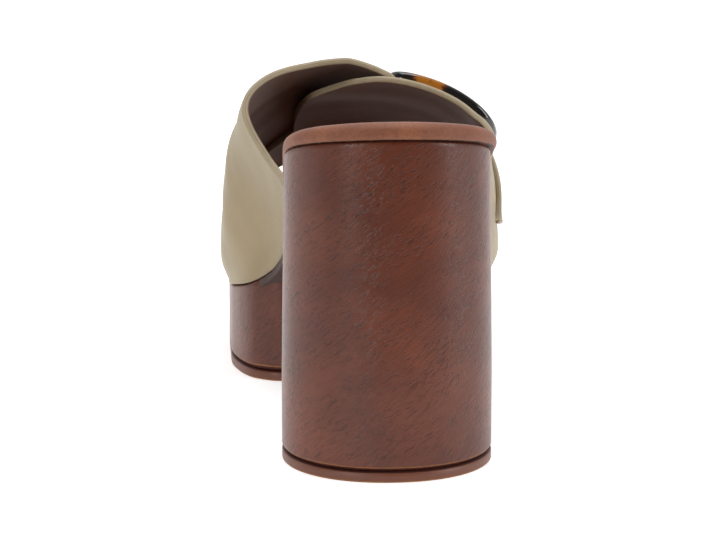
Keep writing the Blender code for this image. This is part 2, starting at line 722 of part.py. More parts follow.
def make_buckle():
    """Rounded rectangular frame that follows the instep, with a pin bar across its middle."""
    half_across = (BUCKLE_GIRTH - BUCKLE_BAR) / 2.0
    half_along = (STRAP_AT_BUCKLE + BUCKLE_BAR) / 2.0 + STRAP_SIDE_CLEARANCE
    radius = BUCKLE_CORNER - BUCKLE_BAR / 2.0
    low = INNER_STRAP - STRAP_SEAM + OUTER_STRAP + 2.0 * GAP
    middle = low + BUCKLE_THICKNESS / 2.0

    path = []
    for cx, cy, start in ((1, 1, 0), (-1, 1, 90), (-1, -1, 180), (1, -1, 270)):
        for step in range(5):
            turn = math.radians(start + step * 22.5)
            centre_x, centre_y = cx * (half_across - radius), cy * (half_along - radius)
            direction = (math.cos(turn), math.sin(turn))
            path.append((centre_x + radius * direction[0], centre_y + radius * direction[1], direction))
        run = 5
        nx, ny = {0: (-1, 1), 90: (-1, -1), 180: (1, -1), 270: (1, 1)}[start]
        turn = math.radians(start + 90)
        direction = (math.cos(turn), math.sin(turn))
        here = path[-1]
        centre_x = nx * (half_across - radius)
        centre_y = ny * (half_along - radius)
        far = (centre_x + radius * direction[0], centre_y + radius * direction[1])
        for k in range(1, run):
            share = k / run
            path.append((lerp(here[0], far[0], share), lerp(here[1], far[1], share), direction))

    bm = bmesh.new()
    rings = []
    for x, y, (dx, dy) in path:
        ring = []
        for k in range(BUCKLE_SECTION):
            angle = 2.0 * math.pi * k / BUCKLE_SECTION
            c, s = math.cos(angle), math.sin(angle)
            out = math.copysign(abs(c) ** 0.7, c) * BUCKLE_BAR / 2.0
            up = math.copysign(abs(s) ** 0.7, s) * BUCKLE_THICKNESS / 2.0
            ring.append(bm.verts.new(on_buckle(x + dx * out, y + dy * out, middle + up)))
        rings.append(ring)
    for i in range(len(rings)):
        one, two = rings[i], rings[(i + 1) % len(rings)]
        for k in range(BUCKLE_SECTION):
            n = (k + 1) % BUCKLE_SECTION
            bm.faces.new((one[k], one[n], two[n], two[k]))
    frame = new_object("buckle", bm, 40.0)

    bm = bmesh.new()
    pin_low = INNER_STRAP + GAP
    ends = half_along
    step = STRAP_AT_BUCKLE / 2.0 + 2.0 * GAP
    low_part = [(step * k / 5.0, 0) for k in range(-5, 6)]
    rows = []
    for y, raised in [(-ends, 1), (-step - 2.0 * GAP, 1), *low_part, (step + 2.0 * GAP, 1), (ends, 1)]:
        high = middle if raised else pin_low + PIN_THICKNESS
        x = PIN_WIDTH / 2.0
        corners = ((-x, pin_low), (x, pin_low), (x, high), (-x, high))
        rows.append([bm.verts.new(on_buckle(a, y, h)) for a, h in corners])
    for one, two in zip(rows, rows[1:]):
        for k in range(4):
            n = (k + 1) % 4
            bm.faces.new((one[k], one[n], two[n], two[k]))
    bm.faces.new(rows[0])
    bm.faces.new(rows[-1])
    pin = new_object("pin_bar", bm)
    boolean(frame, cutter(pin), "UNION")
    return frame


def material(name, colour, roughness, coat=0.0):
    made = bpy.data.materials.new(name)
    made.use_nodes = True
    shader = made.node_tree.nodes["Principled BSDF"]
    shader.inputs["Base Color"].default_value = (*colour, 1.0)
    shader.inputs["Roughness"].default_value = roughness
    shader.inputs["Metallic"].default_value = 0.0
    shader.inputs["Coat Weight"].default_value = coat
    return made


def main():
    for obj in list(bpy.data.objects):
        bpy.data.objects.remove(obj)
    wood = (0.17, 0.052, 0.024)
    finishes = {
        "heel": (make_heel, material("wood_grain_heel", wood, 0.35, 0.3)),
        "heel_top_piece": (make_heel_top_piece, material("rubber_top_piece", (0.15, 0.05, 0.025), 0.5)),
        "platform": (make_platform, material("wood_grain_platform", wood, 0.35, 0.3)),
        "outsole": (make_outsole, material("rubber_outsole", (0.15, 0.05, 0.025), 0.5)),
        "footbed": (make_footbed, material("tan_leather", (0.33, 0.13, 0.06), 0.6)),
        "insole_board": (make_insole_board, material("dark_leather", (0.05, 0.025, 0.018), 0.55)),
        "upper": (make_upper, material("nude_leather", (0.38, 0.31, 0.19), 0.5)),
        "buckle": (make_buckle, material("tortoiseshell", (0.05, 0.025, 0.01), 0.12, 0.5)),
    }
    for maker, finish in finishes.values():
        maker().data.materials.append(finish)


main()
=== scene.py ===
"""Finish of the right platform mule: wood-grain blocks, leather straps, rolled footbed, buckle."""
import functools
import math

import bmesh
import bpy
import numpy as np
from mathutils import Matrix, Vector, noise


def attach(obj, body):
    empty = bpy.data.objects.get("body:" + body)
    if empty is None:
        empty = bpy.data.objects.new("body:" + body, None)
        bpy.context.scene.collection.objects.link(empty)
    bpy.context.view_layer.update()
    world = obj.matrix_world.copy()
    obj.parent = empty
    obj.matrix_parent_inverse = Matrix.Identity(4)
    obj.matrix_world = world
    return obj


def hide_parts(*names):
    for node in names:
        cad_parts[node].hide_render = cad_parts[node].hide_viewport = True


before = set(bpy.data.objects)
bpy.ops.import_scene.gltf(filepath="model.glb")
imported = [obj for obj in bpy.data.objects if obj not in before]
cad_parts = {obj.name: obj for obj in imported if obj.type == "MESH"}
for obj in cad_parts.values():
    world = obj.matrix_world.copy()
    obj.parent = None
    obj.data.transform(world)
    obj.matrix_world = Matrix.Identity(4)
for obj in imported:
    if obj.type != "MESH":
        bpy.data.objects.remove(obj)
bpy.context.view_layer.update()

# Sizes of the model, in metres, as the solids have them
SHOE_LENGTH = 0.236
BALL_WIDTH = 0.089
HEEL_WIDTH = 0.064
HEEL_LENGTH = 0.061
HEEL_HEIGHT = 0.1039
PLATFORM_HEIGHT = 0.024
ARCH_SPAN = 0.061
PLATFORM_CORNER = 0.006
TOE_SPRING = 0.007
TOE_FLAT = 0.046
TOE_TIP_SHIFT = 0.008
TOE_ROUNDING = 0.847
HEEL_ROUNDNESS = 2.1
SOLE_THICKNESS = 0.0034
GROOVE_DEPTH = 0.0009
GROOVE_CHAMFER = 0.0011
HEEL_FOOT_INSET = -0.0003
HEEL_HEAD_INSET = 0.0008
RIM_HEIGHT = 0.0050
RIM_BULGE = 0.0010
FOOTBED_DISH = 0.0022
INSTEP_HEIGHT = 0.060
STRAP_BULGE = 0.0112
OUTER_STRAP = 0.0023
INNER_STRAP = 0.0022
STRAP_SEAM = 0.0007
OUTER_STRAP_ARCH = 0.0045
ARCH_GIRTH = (0.14, 0.47, 0.566)
ARCH_REACH = (0.475, 0.630)
MARGIN_LIFT = 0.0002
STRAP_AT_BUCKLE = 0.033
STRAP_SIDE_CLEARANCE = 0.0015
BUCKLE_GIRTH = 0.035
BUCKLE_CORNER = 0.007
BUCKLE_BAR = 0.006
BUCKLE_THICKNESS = 0.005
BUCKLE_PLACE = 0.652
BUCKLE_ALONG = 0.606
PIN_WIDTH = 0.005
PIN_THICKNESS = 0.0028
HUMP_RUN = 0.0062
TAIL_TIP = 0.880
TAIL_TIP_FLAT = 0.35
GAP = 0.0003
SWELL = 1.1
BASE_TURN = 0.06

# Tables of sections: the first column is a share of the length, or of the girth for straps
SPREAD, MEDIAL, LATERAL = 1, 2, 3
OUTLINE = np.array([
    # along, spread, medial, lateral
    (0.000, 0.00, 0.955, 1.000),
    (0.131, 0.00, 0.950, 1.000),
    (0.258, 0.00, 0.920, 0.985),
    (0.398, 0.00, 0.885, 0.940),
    (0.475, 0.35, 0.820, 0.930),
    (0.500, 0.50, 0.835, 0.928),
    (0.524, 0.60, 0.895, 0.948),
    (0.551, 0.70, 0.985, 0.965),
    (0.585, 0.80, 1.030, 0.980),
    (0.614, 0.88, 1.042, 0.988),
    (0.661, 1.00, 1.018, 0.993),
    (0.729, 1.00, 1.018, 0.989),
    (0.801, 1.00, 1.011, 0.921),
    (0.847, 1.00, 0.973, 0.838),
    (1.000, 1.00, 0.900, 0.674),
])
CLIMB = 1
BED = np.array([
    # along, climb
    (0.000, 1.000), (0.064, 0.951), (0.127, 0.889), (0.212, 0.778),
    (0.297, 0.630), (0.381, 0.460), (0.466, 0.277), (0.508, 0.183),
    (0.551, 0.104), (0.593, 0.069), (0.636, 0.043), (0.678, 0.020),
    (0.742, 0.001), (0.847, -0.004), (0.932, 0.012), (1.000, 0.049),
])
MEDIAL_BULGE, LATERAL_BULGE, MEDIAL_HEIGHT, LATERAL_HEIGHT, RISE, RIDGE, FULL = range(1, 8)
FORM = np.array([
    # along, medial bulge, lateral bulge, medial height, lateral height, rise, ridge, full
    (0.297, 0.92, 0.70, 0.617, 0.400, 0.720, -0.135, 2.10),
    (0.381, 1.04, 0.76, 0.640, 0.400, 0.830, -0.135, 2.20),
    (0.445, 1.20, 0.71, 0.650, 0.430, 0.914, -0.135, 2.26),
    (0.508, 1.14, 0.60, 0.590, 0.425, 0.988, -0.135, 2.34),
    (0.551, 0.68, 0.44, 0.433, 0.383, 1.035, -0.135, 2.40),
    (0.593, 0.36, 0.36, 0.290, 0.260, 1.005, -0.130, 2.50),
    (0.636, 0.27, 0.34, 0.200, 0.200, 0.957, -0.120, 2.50),
    (0.678, 0.24, 0.33, 0.155, 0.180, 0.895, -0.110, 2.50),
    (0.742, 0.24, 0.31, 0.150, 0.165, 0.783, -0.110, 2.45),
    (0.805, 0.26, 0.31, 0.150, 0.150, 0.642, -0.110, 2.40),
    (0.869, 0.28, 0.31, 0.150, 0.150, 0.525, -0.110, 2.30),
])
REAR, FRONT, NARROW = 1, 2, 3
OUTER_EDGES = np.array([
    # girth, rear, front, narrow
    (0.000, 0.305, 0.754, 0.00),
    (0.080, 0.341, 0.742, 0.00),
    (0.140, 0.368, 0.733, 0.00),
    (0.200, 0.384, 0.724, 0.00),
    (0.250, 0.398, 0.716, 0.00),
    (0.330, 0.428, 0.706, 0.00),
    (0.420, 0.455, 0.698, 0.00),
    (0.500, 0.452, 0.692, 0.00),
    (0.530, 0.448, 0.689, 0.00),
    (0.555, 0.447, 0.686, 0.08),
    (0.580, 0.450, 0.682, 0.60),
    (0.600, 0.462, 0.680, 0.98),
    (0.640, 0.470, 0.676, 1.00),
    (0.750, 0.475, 0.676, 1.00),
    (0.845, 0.475, 0.676, 1.00),
])
INNER_EDGES = np.array([
    # girth, rear, front, narrow
    (0.000, 0.690, 0.860, 0.0),
    (0.100, 0.690, 0.835, 0.0),
    (0.200, 0.688, 0.808, 0.0),
    (0.300, 0.683, 0.785, 0.0),
    (0.360, 0.665, 0.776, 0.0),
    (0.380, 0.588, 0.770, 0.0),
    (0.400, 0.545, 0.768, 0.0),
    (0.425, 0.503, 0.766, 0.0),
    (0.455, 0.482, 0.762, 0.0),
    (0.490, 0.462, 0.759, 0.0),
    (0.560, 0.443, 0.756, 0.0),
    (0.640, 0.440, 0.757, 0.0),
    (0.730, 0.418, 0.765, 0.0),
    (0.780, 0.386, 0.772, 0.0),
    (0.830, 0.360, 0.780, 0.0),
    (0.920, 0.335, 0.798, 0.0),
    (1.000, 0.318, 0.818, 0.0),
])


def smooth(share):
    share = np.clip(share, 0.0, 1.0)
    return share * share * (3.0 - 2.0 * share)


def lerp(a, b, share):
    return a + (b - a) * share


def curve(table, column, x):
    """Smooth values of a table's column at x, read along its first column with no overshoot."""
    xs, ys = table[:, 0], table[:, column]
    x = np.clip(np.asarray(x, dtype=float), xs[0], xs[-1])
    widths = np.diff(xs)
    slopes = np.diff(ys) / widths
    tangents = np.zeros_like(ys)
    tangents[0], tangents[-1] = slopes[0], slopes[-1]
    for i in range(1, len(xs) - 1):
        before, after = slopes[i - 1], slopes[i]
        if before * after > 0.0:
            w1 = 2.0 * widths[i] + widths[i - 1]
            w2 = widths[i] + 2.0 * widths[i - 1]
            tangents[i] = (w1 + w2) / (w1 / before + w2 / after)
    i = np.clip(np.searchsorted(xs, x, side="right") - 1, 0, len(xs) - 2)
    width = widths[i]
    t = (x - xs[i]) / width
    return (
        (2 * t**3 - 3 * t**2 + 1) * ys[i]
        + (t**3 - 2 * t**2 + t) * width * tangents[i]
        + (3 * t**2 - 2 * t**3) * ys[i + 1]
        + (t**3 - t**2) * width * tangents[i + 1]
    )


def y_of(station):
    return station - HEEL_LENGTH / 2.0


def bed(station):
    """Height of the blocks' top."""
    return PLATFORM_HEIGHT + (HEEL_HEIGHT - PLATFORM_HEIGHT) * curve(BED, CLIMB, station / SHOE_LENGTH)


def floor_line(station):
    start = SHOE_LENGTH - TOE_FLAT
    return TOE_SPRING * np.clip((np.asarray(station) - start) / TOE_FLAT, 0.0, 1.0) ** 1.8


def half_widths(station):
    along = station / SHOE_LENGTH
    width = lerp(HEEL_WIDTH, BALL_WIDTH, curve(OUTLINE, SPREAD, along)) / 2.0
    return width * curve(OUTLINE, MEDIAL, along), width * curve(OUTLINE, LATERAL, along)


def toe_rounded(station, medial, lateral):
    start = TOE_ROUNDING * SHOE_LENGTH
    t = np.clip((station - start) / (SHOE_LENGTH - start), 0.0, 1.0)
    share = np.sqrt(np.clip(1.0 - t**2.1, 0.0, 1.0))
    return lerp(TOE_TIP_SHIFT, medial, share), lerp(-TOE_TIP_SHIFT, lateral, share)


def footbed_outline(station):
    """Left and right x of the footbed at a station, rounded at heel and toe."""
    station = np.asarray(station, dtype=float)
    medial, lateral = toe_rounded(station, *half_widths(station))
    ahead = np.clip(1.0 - station / (HEEL_LENGTH / 2.0), 0.0, 1.0)
    share = np.clip(1.0 - ahead**HEEL_ROUNDNESS, 0.0, 1.0) ** (1.0 / HEEL_ROUNDNESS)
    return -medial * share, lateral * share


def heel_outline(station):
    away = np.abs(1.0 - np.asarray(station, dtype=float) / (HEEL_LENGTH / 2.0))
    share = np.clip(1.0 - away**HEEL_ROUNDNESS, 0.0, 1.0) ** (1.0 / HEEL_ROUNDNESS)
    return -HEEL_WIDTH / 2.0 * share, HEEL_WIDTH / 2.0 * share


def platform_outline(station):
    station = np.asarray(station, dtype=float)
    medial, lateral = toe_rounded(station, *half_widths(station))
    depth = np.clip((station - HEEL_LENGTH - ARCH_SPAN) / PLATFORM_CORNER, 0.0, 1.0)
    cut = PLATFORM_CORNER * (1.0 - np.sqrt(np.clip(1.0 - (1.0 - depth) ** 2, 0.0, 1.0)))
    return cut - medial, lateral - cut


# The straps' inside form, sampled once on a fine grid of stations and girths
FORM_FIRST, FORM_LAST, FORM_STATIONS, FORM_GIRTHS = 0.060, 0.212, 305, 353


def form_sections(stations):
    """The inside form's sections: points[station, sample, xyz], medial base to lateral base."""
    along = stations / SHOE_LENGTH
    left, right = footbed_outline(stations)
    base = bed(stations) + GAP + MARGIN_LIFT
    ridge = curve(FORM, RIDGE, along) * BALL_WIDTH / 2.0
    top = base + curve(FORM, RISE, along) * INSTEP_HEIGHT
    full = curve(FORM, FULL, along)
    halves = []
    for side, edge, wall, bulge, height in (
        (-1, left, INNER_STRAP + OUTER_STRAP - STRAP_SEAM, MEDIAL_BULGE, MEDIAL_HEIGHT),
        (1, right, INNER_STRAP, LATERAL_BULGE, LATERAL_HEIGHT),
    ):
        foot = edge - side * wall
        wide = foot + side * STRAP_BULGE * curve(FORM, bulge, along)
        level = base + curve(FORM, height, along) * INSTEP_HEIGHT
        t = np.linspace(0.0, 1.0, 90, endpoint=False)[None, :]
        x = lerp(foot[:, None], wide[:, None], smooth(t) ** SWELL)
        z = lerp(base[:, None], level[:, None], t)
        angle = np.linspace(0.0, math.pi / 2.0, 160)[None, :]
        power = 2.0 / full[:, None]
        across = np.clip(np.cos(angle), 0.0, 1.0) ** power
        up = np.clip(np.sin(angle), 0.0, 1.0) ** power
        x = np.concatenate([x, lerp(ridge[:, None], wide[:, None], across)], axis=1)
        z = np.concatenate([z, lerp(level[:, None], top[:, None], up)], axis=1)
        halves.append((x, z))
    x = np.concatenate([halves[0][0], halves[1][0][:, -2::-1]], axis=1)
    z = np.concatenate([halves[0][1], halves[1][1][:, -2::-1]], axis=1)
    y = np.broadcast_to(y_of(stations)[:, None], x.shape)
    return np.stack([x, y, z], axis=2)


def make_form():
    stations = np.linspace(FORM_FIRST, FORM_LAST, FORM_STATIONS)
    girths = np.linspace(0.0, 1.0, FORM_GIRTHS)
    sections = form_sections(stations)
    points = np.zeros((FORM_STATIONS, FORM_GIRTHS, 3))
    lengths = np.zeros(FORM_STATIONS)
    for i, section in enumerate(sections):
        steps = np.linalg.norm(np.diff(section, axis=0), axis=1)
        run = np.concatenate([[0.0], np.cumsum(steps)])
        lengths[i] = run[-1]
        for axis in range(3):
            points[i, :, axis] = np.interp(girths * run[-1], run, section[:, axis])
    around = np.gradient(points, axis=1)
    around[:, 1:-1] = points[:, 2:] - points[:, :-2]
    along = np.gradient(points, axis=0)
    turn = smooth(np.minimum(girths, 1.0 - girths) / BASE_TURN)[None, :, None]
    along = lerp(np.array([0.0, stations[1] - stations[0], 0.0]), along, turn)
    normals = -np.cross(along, around)
    for _ in range(6):
        normals[:, 1:-1] = (normals[:, :-2] + 2.0 * normals[:, 1:-1] + normals[:, 2:]) / 4.0
    normals /= np.linalg.norm(normals, axis=2, keepdims=True)
    return points, normals, stations, lengths


FORM_POINTS, FORM_NORMALS, FORM_STATION_LIST, FORM_LENGTHS = make_form()


def on_form(station, girth, height):
    """Points at a height over the inside form; the arguments are arrays of one shape."""
    station, girth, height = np.broadcast_arrays(station, girth, height)
    a = (station - FORM_FIRST) / (FORM_LAST - FORM_FIRST) * (FORM_STATIONS - 1)
    b = np.clip(girth, 0.0, 1.0) * (FORM_GIRTHS - 1)
    i = np.clip(np.floor(a).astype(int), 0, FORM_STATIONS - 2)
    j = np.clip(np.floor(b).astype(int), 0, FORM_GIRTHS - 2)
    s, t = (a - i)[..., None], (b - j)[..., None]

    def sample(grid):
        return lerp(lerp(grid[i, j], grid[i + 1, j], s), lerp(grid[i, j + 1], grid[i + 1, j + 1], s), t)

    normal = sample(FORM_NORMALS)
    normal /= np.linalg.norm(normal, axis=-1, keepdims=True)
    return sample(FORM_POINTS) + normal * height[..., None]


def buckle_station():
    return BUCKLE_ALONG * SHOE_LENGTH


def buckle_girth_length():
    return float(np.interp(buckle_station(), FORM_STATION_LIST, FORM_LENGTHS))


def outer_lift(station, girth):
    """Height of the outer strap's underside over the form: free arch and pin hump."""
    along = station / SHOE_LENGTH
    start, peak, end = ARCH_GIRTH
    climb = smooth((girth - start) / (peak - start))
    fall = smooth((end - girth) / (end - peak))
    rising = np.where(girth < peak, climb, fall)
    ahead, done = ARCH_REACH
    arch = OUTER_STRAP_ARCH * rising * (1.0 - smooth((along - ahead) / (done - ahead)))
    over_pin = PIN_THICKNESS + STRAP_SEAM + 2.0 * GAP
    run = np.abs(girth - BUCKLE_PLACE) * buckle_girth_length() - PIN_WIDTH / 2.0 - GAP
    hump = over_pin * (1.0 - smooth(run / HUMP_RUN))
    return INNER_STRAP - STRAP_SEAM + arch + hump


def mesh_object(name, vertices, faces, slots=None, indices=None):
    mesh = bpy.data.meshes.new(name)
    mesh.from_pydata([tuple(v) for v in vertices], [], faces)
    if slots:
        for made in slots:
            mesh.materials.append(made)
    if indices is not None:
        mesh.polygons.foreach_set("material_index", indices)
    mesh.validate()
    obj = bpy.data.objects.new(name, mesh)
    bpy.context.scene.collection.objects.link(obj)
    bm = bmesh.new()
    bm.from_mesh(mesh)
    bmesh.ops.remove_doubles(bm, verts=bm.verts, dist=1e-7)
    bmesh.ops.recalc_face_normals(bm, faces=bm.faces)
    bm.to_mesh(mesh)
    bm.free()
    mesh.shade_smooth()
    return obj


def end_spaced(first, last, count):
    turn = np.linspace(0.0, math.pi, count)
    return lerp(first, last, 0.5 - 0.5 * np.cos(turn))


def layered(name, stations, outline, levels, columns, slots, band_slots=None, crown=None, top_slot=0):
    """A closed block from the outline's rings at each level, from the lowest up.

    A level is (inset, height function). Side faces between two levels take band_slots, the
    lower cap takes slot 0 and the upper cap top_slot. A UV map named wrap runs round the
    outline from the back and up the side, in metres.
    """
    left_x, right_x = outline(stations)
    y = y_of(stations)
    left = np.stack([left_x, y], axis=1)
    right = np.stack([right_x, y], axis=1)
    single = np.linalg.norm(right - left, axis=1) < 1e-6
    ring = [(i, 0) for i in range(len(stations))]
    ring += [(i, 1) for i in reversed(range(len(stations))) if not single[i]]
    flat = np.array([(left, right)[side][i] for i, side in ring])
    tangent = np.roll(flat, -1, axis=0) - np.roll(flat, 1, axis=0)
    normal = np.stack([tangent[:, 1], -tangent[:, 0]], axis=1)
    normal /= np.linalg.norm(normal, axis=1, keepdims=True)
    ring_stations = np.array([stations[i] for i, _ in ring])
    count = len(ring)
    steps = np.linalg.norm(np.roll(flat, -1, axis=0) - flat, axis=1)
    run = np.concatenate([[0.0], np.cumsum(steps)])
    around = np.where(run[:-1] > run[-1] / 2.0, run[:-1] - run[-1], run[:-1]) * -1.0
    vertices, faces, indices, uvs = [], [], [], []
    rows = []
    for inset, height in levels:
        place = flat + normal * inset
        z = height(ring_stations)
        rows.append(len(vertices))
        vertices += [(place[k, 0], place[k, 1], z[k]) for k in range(count)]
    turns = [around[k] * around[(k + 1) % count] < 0.0 for k in range(count)]
    seam = next(k for k in range(count) if turns[k] and abs(around[k]) > 0.01)
    for level in range(len(levels) - 1):
        low, high = rows[level], rows[level + 1]
        for k in range(count):
            n = (k + 1) % count
            faces.append((low + k, low + n, high + n, high + k))
            indices.append(band_slots[level] if band_slots else 0)
            far = around[n] if k != seam else around[k] - steps[k]
            pairs = ((around[k], low + k), (far, low + n), (far, high + n), (around[k], high + k))
            uvs.append([(u, vertices[index][2]) for u, index in pairs])
    place_of = {key: k for k, key in enumerate(ring)}
    for row, lift, cap_slot in ((rows[0], None, 0), (rows[-1], crown, top_slot)):
        cross = []
        for i, s in enumerate(stations):
            a = row + place_of[(i, 0)]
            if single[i]:
                cross.append([a])
                continue
            b = row + place_of[(i, 1)]
            inner = []
            for share in columns:
                point = lerp(np.array(vertices[a]), np.array(vertices[b]), share)
                if lift:
                    point[2] += lift(s, share)
                inner.append(len(vertices))
                vertices.append(tuple(point))
            cross.append([a, *inner, b])
        for one, two in zip(cross, cross[1:]):
            if len(one) == 1 or len(two) == 1:
                tip, line = (one[0], two) if len(one) == 1 else (two[0], one)
                made = [(tip, p, q) for p, q in zip(line, line[1:])]
            else:
                made = [(one[k], one[k + 1], two[k + 1], two[k]) for k in range(len(one) - 1)]
            for face in made:
                faces.append(face)
                indices.append(cap_slot)
                uvs.append([(vertices[v][0], vertices[v][1]) for v in face])
    return textured(name, vertices, faces, slots, indices, uvs)


def textured(name, vertices, faces, slots, indices, uvs):
    """A smooth mesh object with its material slots and a UV map named wrap."""
    mesh = bpy.data.meshes.new(name)
    mesh.from_pydata(vertices, [], faces)
    for made in slots:
        mesh.materials.append(made)
    mesh.polygons.foreach_set("material_index", indices)
    layer = mesh.uv_layers.new(name="wrap")
    layer.data.foreach_set("uv", [c for face in uvs for pair in face for c in pair])
    bm = bmesh.new()
    bm.from_mesh(mesh)
    bmesh.ops.remove_doubles(bm, verts=bm.verts, dist=1e-7)
    bmesh.ops.recalc_face_normals(bm, faces=bm.faces)
    bm.to_mesh(mesh)
    bm.free()
    mesh.shade_smooth()
    obj = bpy.data.objects.new(name, mesh)
    bpy.context.scene.collection.objects.link(obj)
    return obj


# Materials

def srgb(r, g, b):
    """Linear colour of an 8-bit screen colour."""
    def channel(c):
        c /= 255.0
        return c / 12.92 if c <= 0.04045 else ((c + 0.055) / 1.055) ** 2.4
    return channel(r), channel(g), channel(b), 1.0


class Graph:
    """A material's node graph, with short calls for the nodes that the finishes share."""

    def __init__(self, name, **sockets):
        self.material = bpy.data.materials.new(name)
        self.material.use_nodes = True
        self.tree = self.material.node_tree
        self.shader = self.tree.nodes["Principled BSDF"]
        for socket, value in sockets.items():
            self.shader.inputs[socket.replace("_", " ")].default_value = value

    def node(self, kind, inputs=None, **properties):
        made = self.tree.nodes.new("ShaderNode" + kind)
        for key, value in properties.items():
            setattr(made, key, value)
        for key, value in (inputs or {}).items():
            if isinstance(value, bpy.types.NodeSocket):
                self.tree.links.new(value, made.inputs[key])
            else:
                made.inputs[key].default_value = value
        return made

    def link(self, output, socket):
        self.tree.links.new(output, self.shader.inputs[socket])

    def wrap(self):
        return self.node("UVMap", uv_map="wrap").outputs["UV"]

    def object(self):
        return self.node("TexCoord").outputs["Object"]

    def mapped(self, vector, scale, turn=0.0, shift=(0.0, 0.0, 0.0)):
        """The vector turned about Z by degrees, then scaled."""
        rotation = (0.0, 0.0, math.radians(turn))
        turned = self.node("Mapping", {"Vector": vector, "Rotation": rotation}).outputs[0]
        placed = self.node("Mapping", {"Vector": turned, "Scale": scale, "Location": shift})
        return placed.outputs[0]

    def noise(self, vector, scale=1.0, detail=3.0, roughness=0.5, distortion=0.0):
        sockets = {"Vector": vector, "Scale": scale, "Detail": detail}
        sockets.update(Roughness=roughness, Distortion=distortion)
        return self.node("TexNoise", sockets).outputs["Fac"]

    def ramp(self, value, *stops):
        """Colours or greys at positions along the value."""
        made = self.node("ValToRGB", {"Fac": value})
        ramp = made.color_ramp
        while len(ramp.elements) < len(stops):
            ramp.elements.new(0.5)
        for element, (position, colour) in zip(ramp.elements, stops):
            element.position = position
            element.color = colour if isinstance(colour, tuple) else (colour, colour, colour, 1.0)
        return made.outputs["Color"]

    def math(self, operation, a, b=0.0, c=0.0, clamp=False):
        made = self.node("Math", operation=operation, use_clamp=clamp)
        for index, value in enumerate((a, b, c)):
            if isinstance(value, bpy.types.NodeSocket):
                self.tree.links.new(value, made.inputs[index])
            else:
                made.inputs[index].default_value = value
        return made.outputs[0]

    def mix(self, factor, a, b, blend="MIX"):
        made = self.node("Mix", data_type="RGBA", blend_type=blend)
        for index, value in ((0, factor), (6, a), (7, b)):
            if isinstance(value, bpy.types.NodeSocket):
                self.tree.links.new(value, made.inputs[index])
            else:
                made.inputs[index].default_value = value
        return made.outputs[2]

    def bump(self, height, strength, distance, after=None):
        sockets = {"Height": height, "Strength": strength, "Distance": distance}
        if after is not None:
            sockets["Normal"] = after
        return self.node("Bump", sockets).outputs["Normal"]


GRAIN_TURN = -33.0
WRAP_DARK = srgb(82, 37, 23)
WRAP_LIGHT = srgb(111, 55, 33)
WRAP_STREAK = srgb(64, 27, 17)
WRAP_FLECK = srgb(32, 14, 10)


def wood_wrap(name):
    """Wood-grain covering: short embossed flecks along diagonal bands, over a mottled red brown."""
    g = Graph(name, Roughness=0.33, Specular_IOR_Level=0.40)
    uv = g.wrap()
    bands = g.noise(g.mapped(uv, (40.0, 150.0, 1.0), GRAIN_TURN), detail=2.0, distortion=0.5)
    streaks = g.noise(g.mapped(uv, (150.0, 950.0, 1.0), GRAIN_TURN), detail=3.0, distortion=0.5)
    flecks = g.noise(g.mapped(uv, (330.0, 1400.0, 1.0), GRAIN_TURN - 6.0), detail=2.0, distortion=0.7)
    cluster = g.ramp(bands, (0.36, 0.12), (0.58, 1.0))
    fleck = g.math("MULTIPLY", g.ramp(flecks, (0.52, 0.0), (0.63, 1.0)), cluster)
    mottle = g.noise(g.mapped(uv, (26.0, 36.0, 1.0)), detail=4.0)
    base = g.mix(g.ramp(mottle, (0.34, 0.0), (0.68, 1.0)), WRAP_DARK, WRAP_LIGHT)
    base = g.mix(g.math("MULTIPLY", g.ramp(streaks, (0.45, 0.0), (0.7, 1.0)), 0.35), base, WRAP_STREAK)
    base = g.mix(g.math("MULTIPLY", fleck, 0.42), base, WRAP_FLECK)
    g.link(base, "Base Color")
    relief = g.math("SUBTRACT", g.math("MULTIPLY", streaks, 0.30), fleck)
    rough = g.bump(relief, 0.30, 0.0004)
    fine = g.noise(uv, scale=2400.0, detail=2.0)
    g.link(g.bump(fine, 0.12, 0.0001, rough), "Normal")
    g.link(g.math("ADD", 0.28, g.math("MULTIPLY", streaks, 0.10)), "Roughness")
    return g.material


def painted(name, colour, roughness, spread=0.12):
    """Thin painted line or edge with slight unevenness; the groove's dark colour made with it is painted
    shade.
    """
    g = Graph(name, Roughness=roughness, Specular_IOR_Level=0.3)
    dirt = g.noise(g.mapped(g.wrap(), (300.0, 300.0, 1.0)), detail=4.0)
    dark = tuple(c * (1.0 - 2.5 * spread) for c in colour[:3]) + (1.0,)
    g.link(g.mix(g.ramp(dirt, (0.35, 0.0), (0.7, 1.0)), dark, colour), "Base Color")
    g.link(g.bump(g.noise(g.wrap(), scale=1500.0), 0.15, 0.0001), "Normal")
    return g.material


def strap_leather(name, colour, grain=1.0, roughness=0.47, wrapped=True):
    """Smooth corrected leather with a fine pebbled grain."""
    g = Graph(name, Roughness=roughness, Sheen_Weight=0.08, Sheen_Roughness=0.5)
    uv = g.wrap() if wrapped else g.object()
    cells = g.node("TexVoronoi", {"Vector": uv, "Scale": 1350.0}, feature="F1").outputs["Distance"]
    wander = g.noise(uv, scale=700.0, detail=4.0, roughness=0.6)
    tone = g.noise(uv, scale=45.0, detail=3.0)
    light = tuple(min(1.0, c * 1.06) for c in colour[:3]) + (1.0,)
    dark = tuple(c * 0.90 for c in colour[:3]) + (1.0,)
    base = g.mix(g.ramp(tone, (0.35, 0.0), (0.68, 1.0)), dark, light)
    pits = g.ramp(cells, (0.0, 1.0), (0.35, 0.0))
    deep = tuple(c * 0.6 for c in colour[:3]) + (1.0,)
    g.link(g.mix(g.math("MULTIPLY", pits, 0.10), base, deep), "Base Color")
    soft = g.bump(wander, 0.16 * grain, 0.0003)
    g.link(g.bump(cells, 0.10 * grain, 0.0002, soft), "Normal")
    g.link(g.math("ADD", roughness - 0.05, g.math("MULTIPLY", wander, 0.12)), "Roughness")
    return g.material


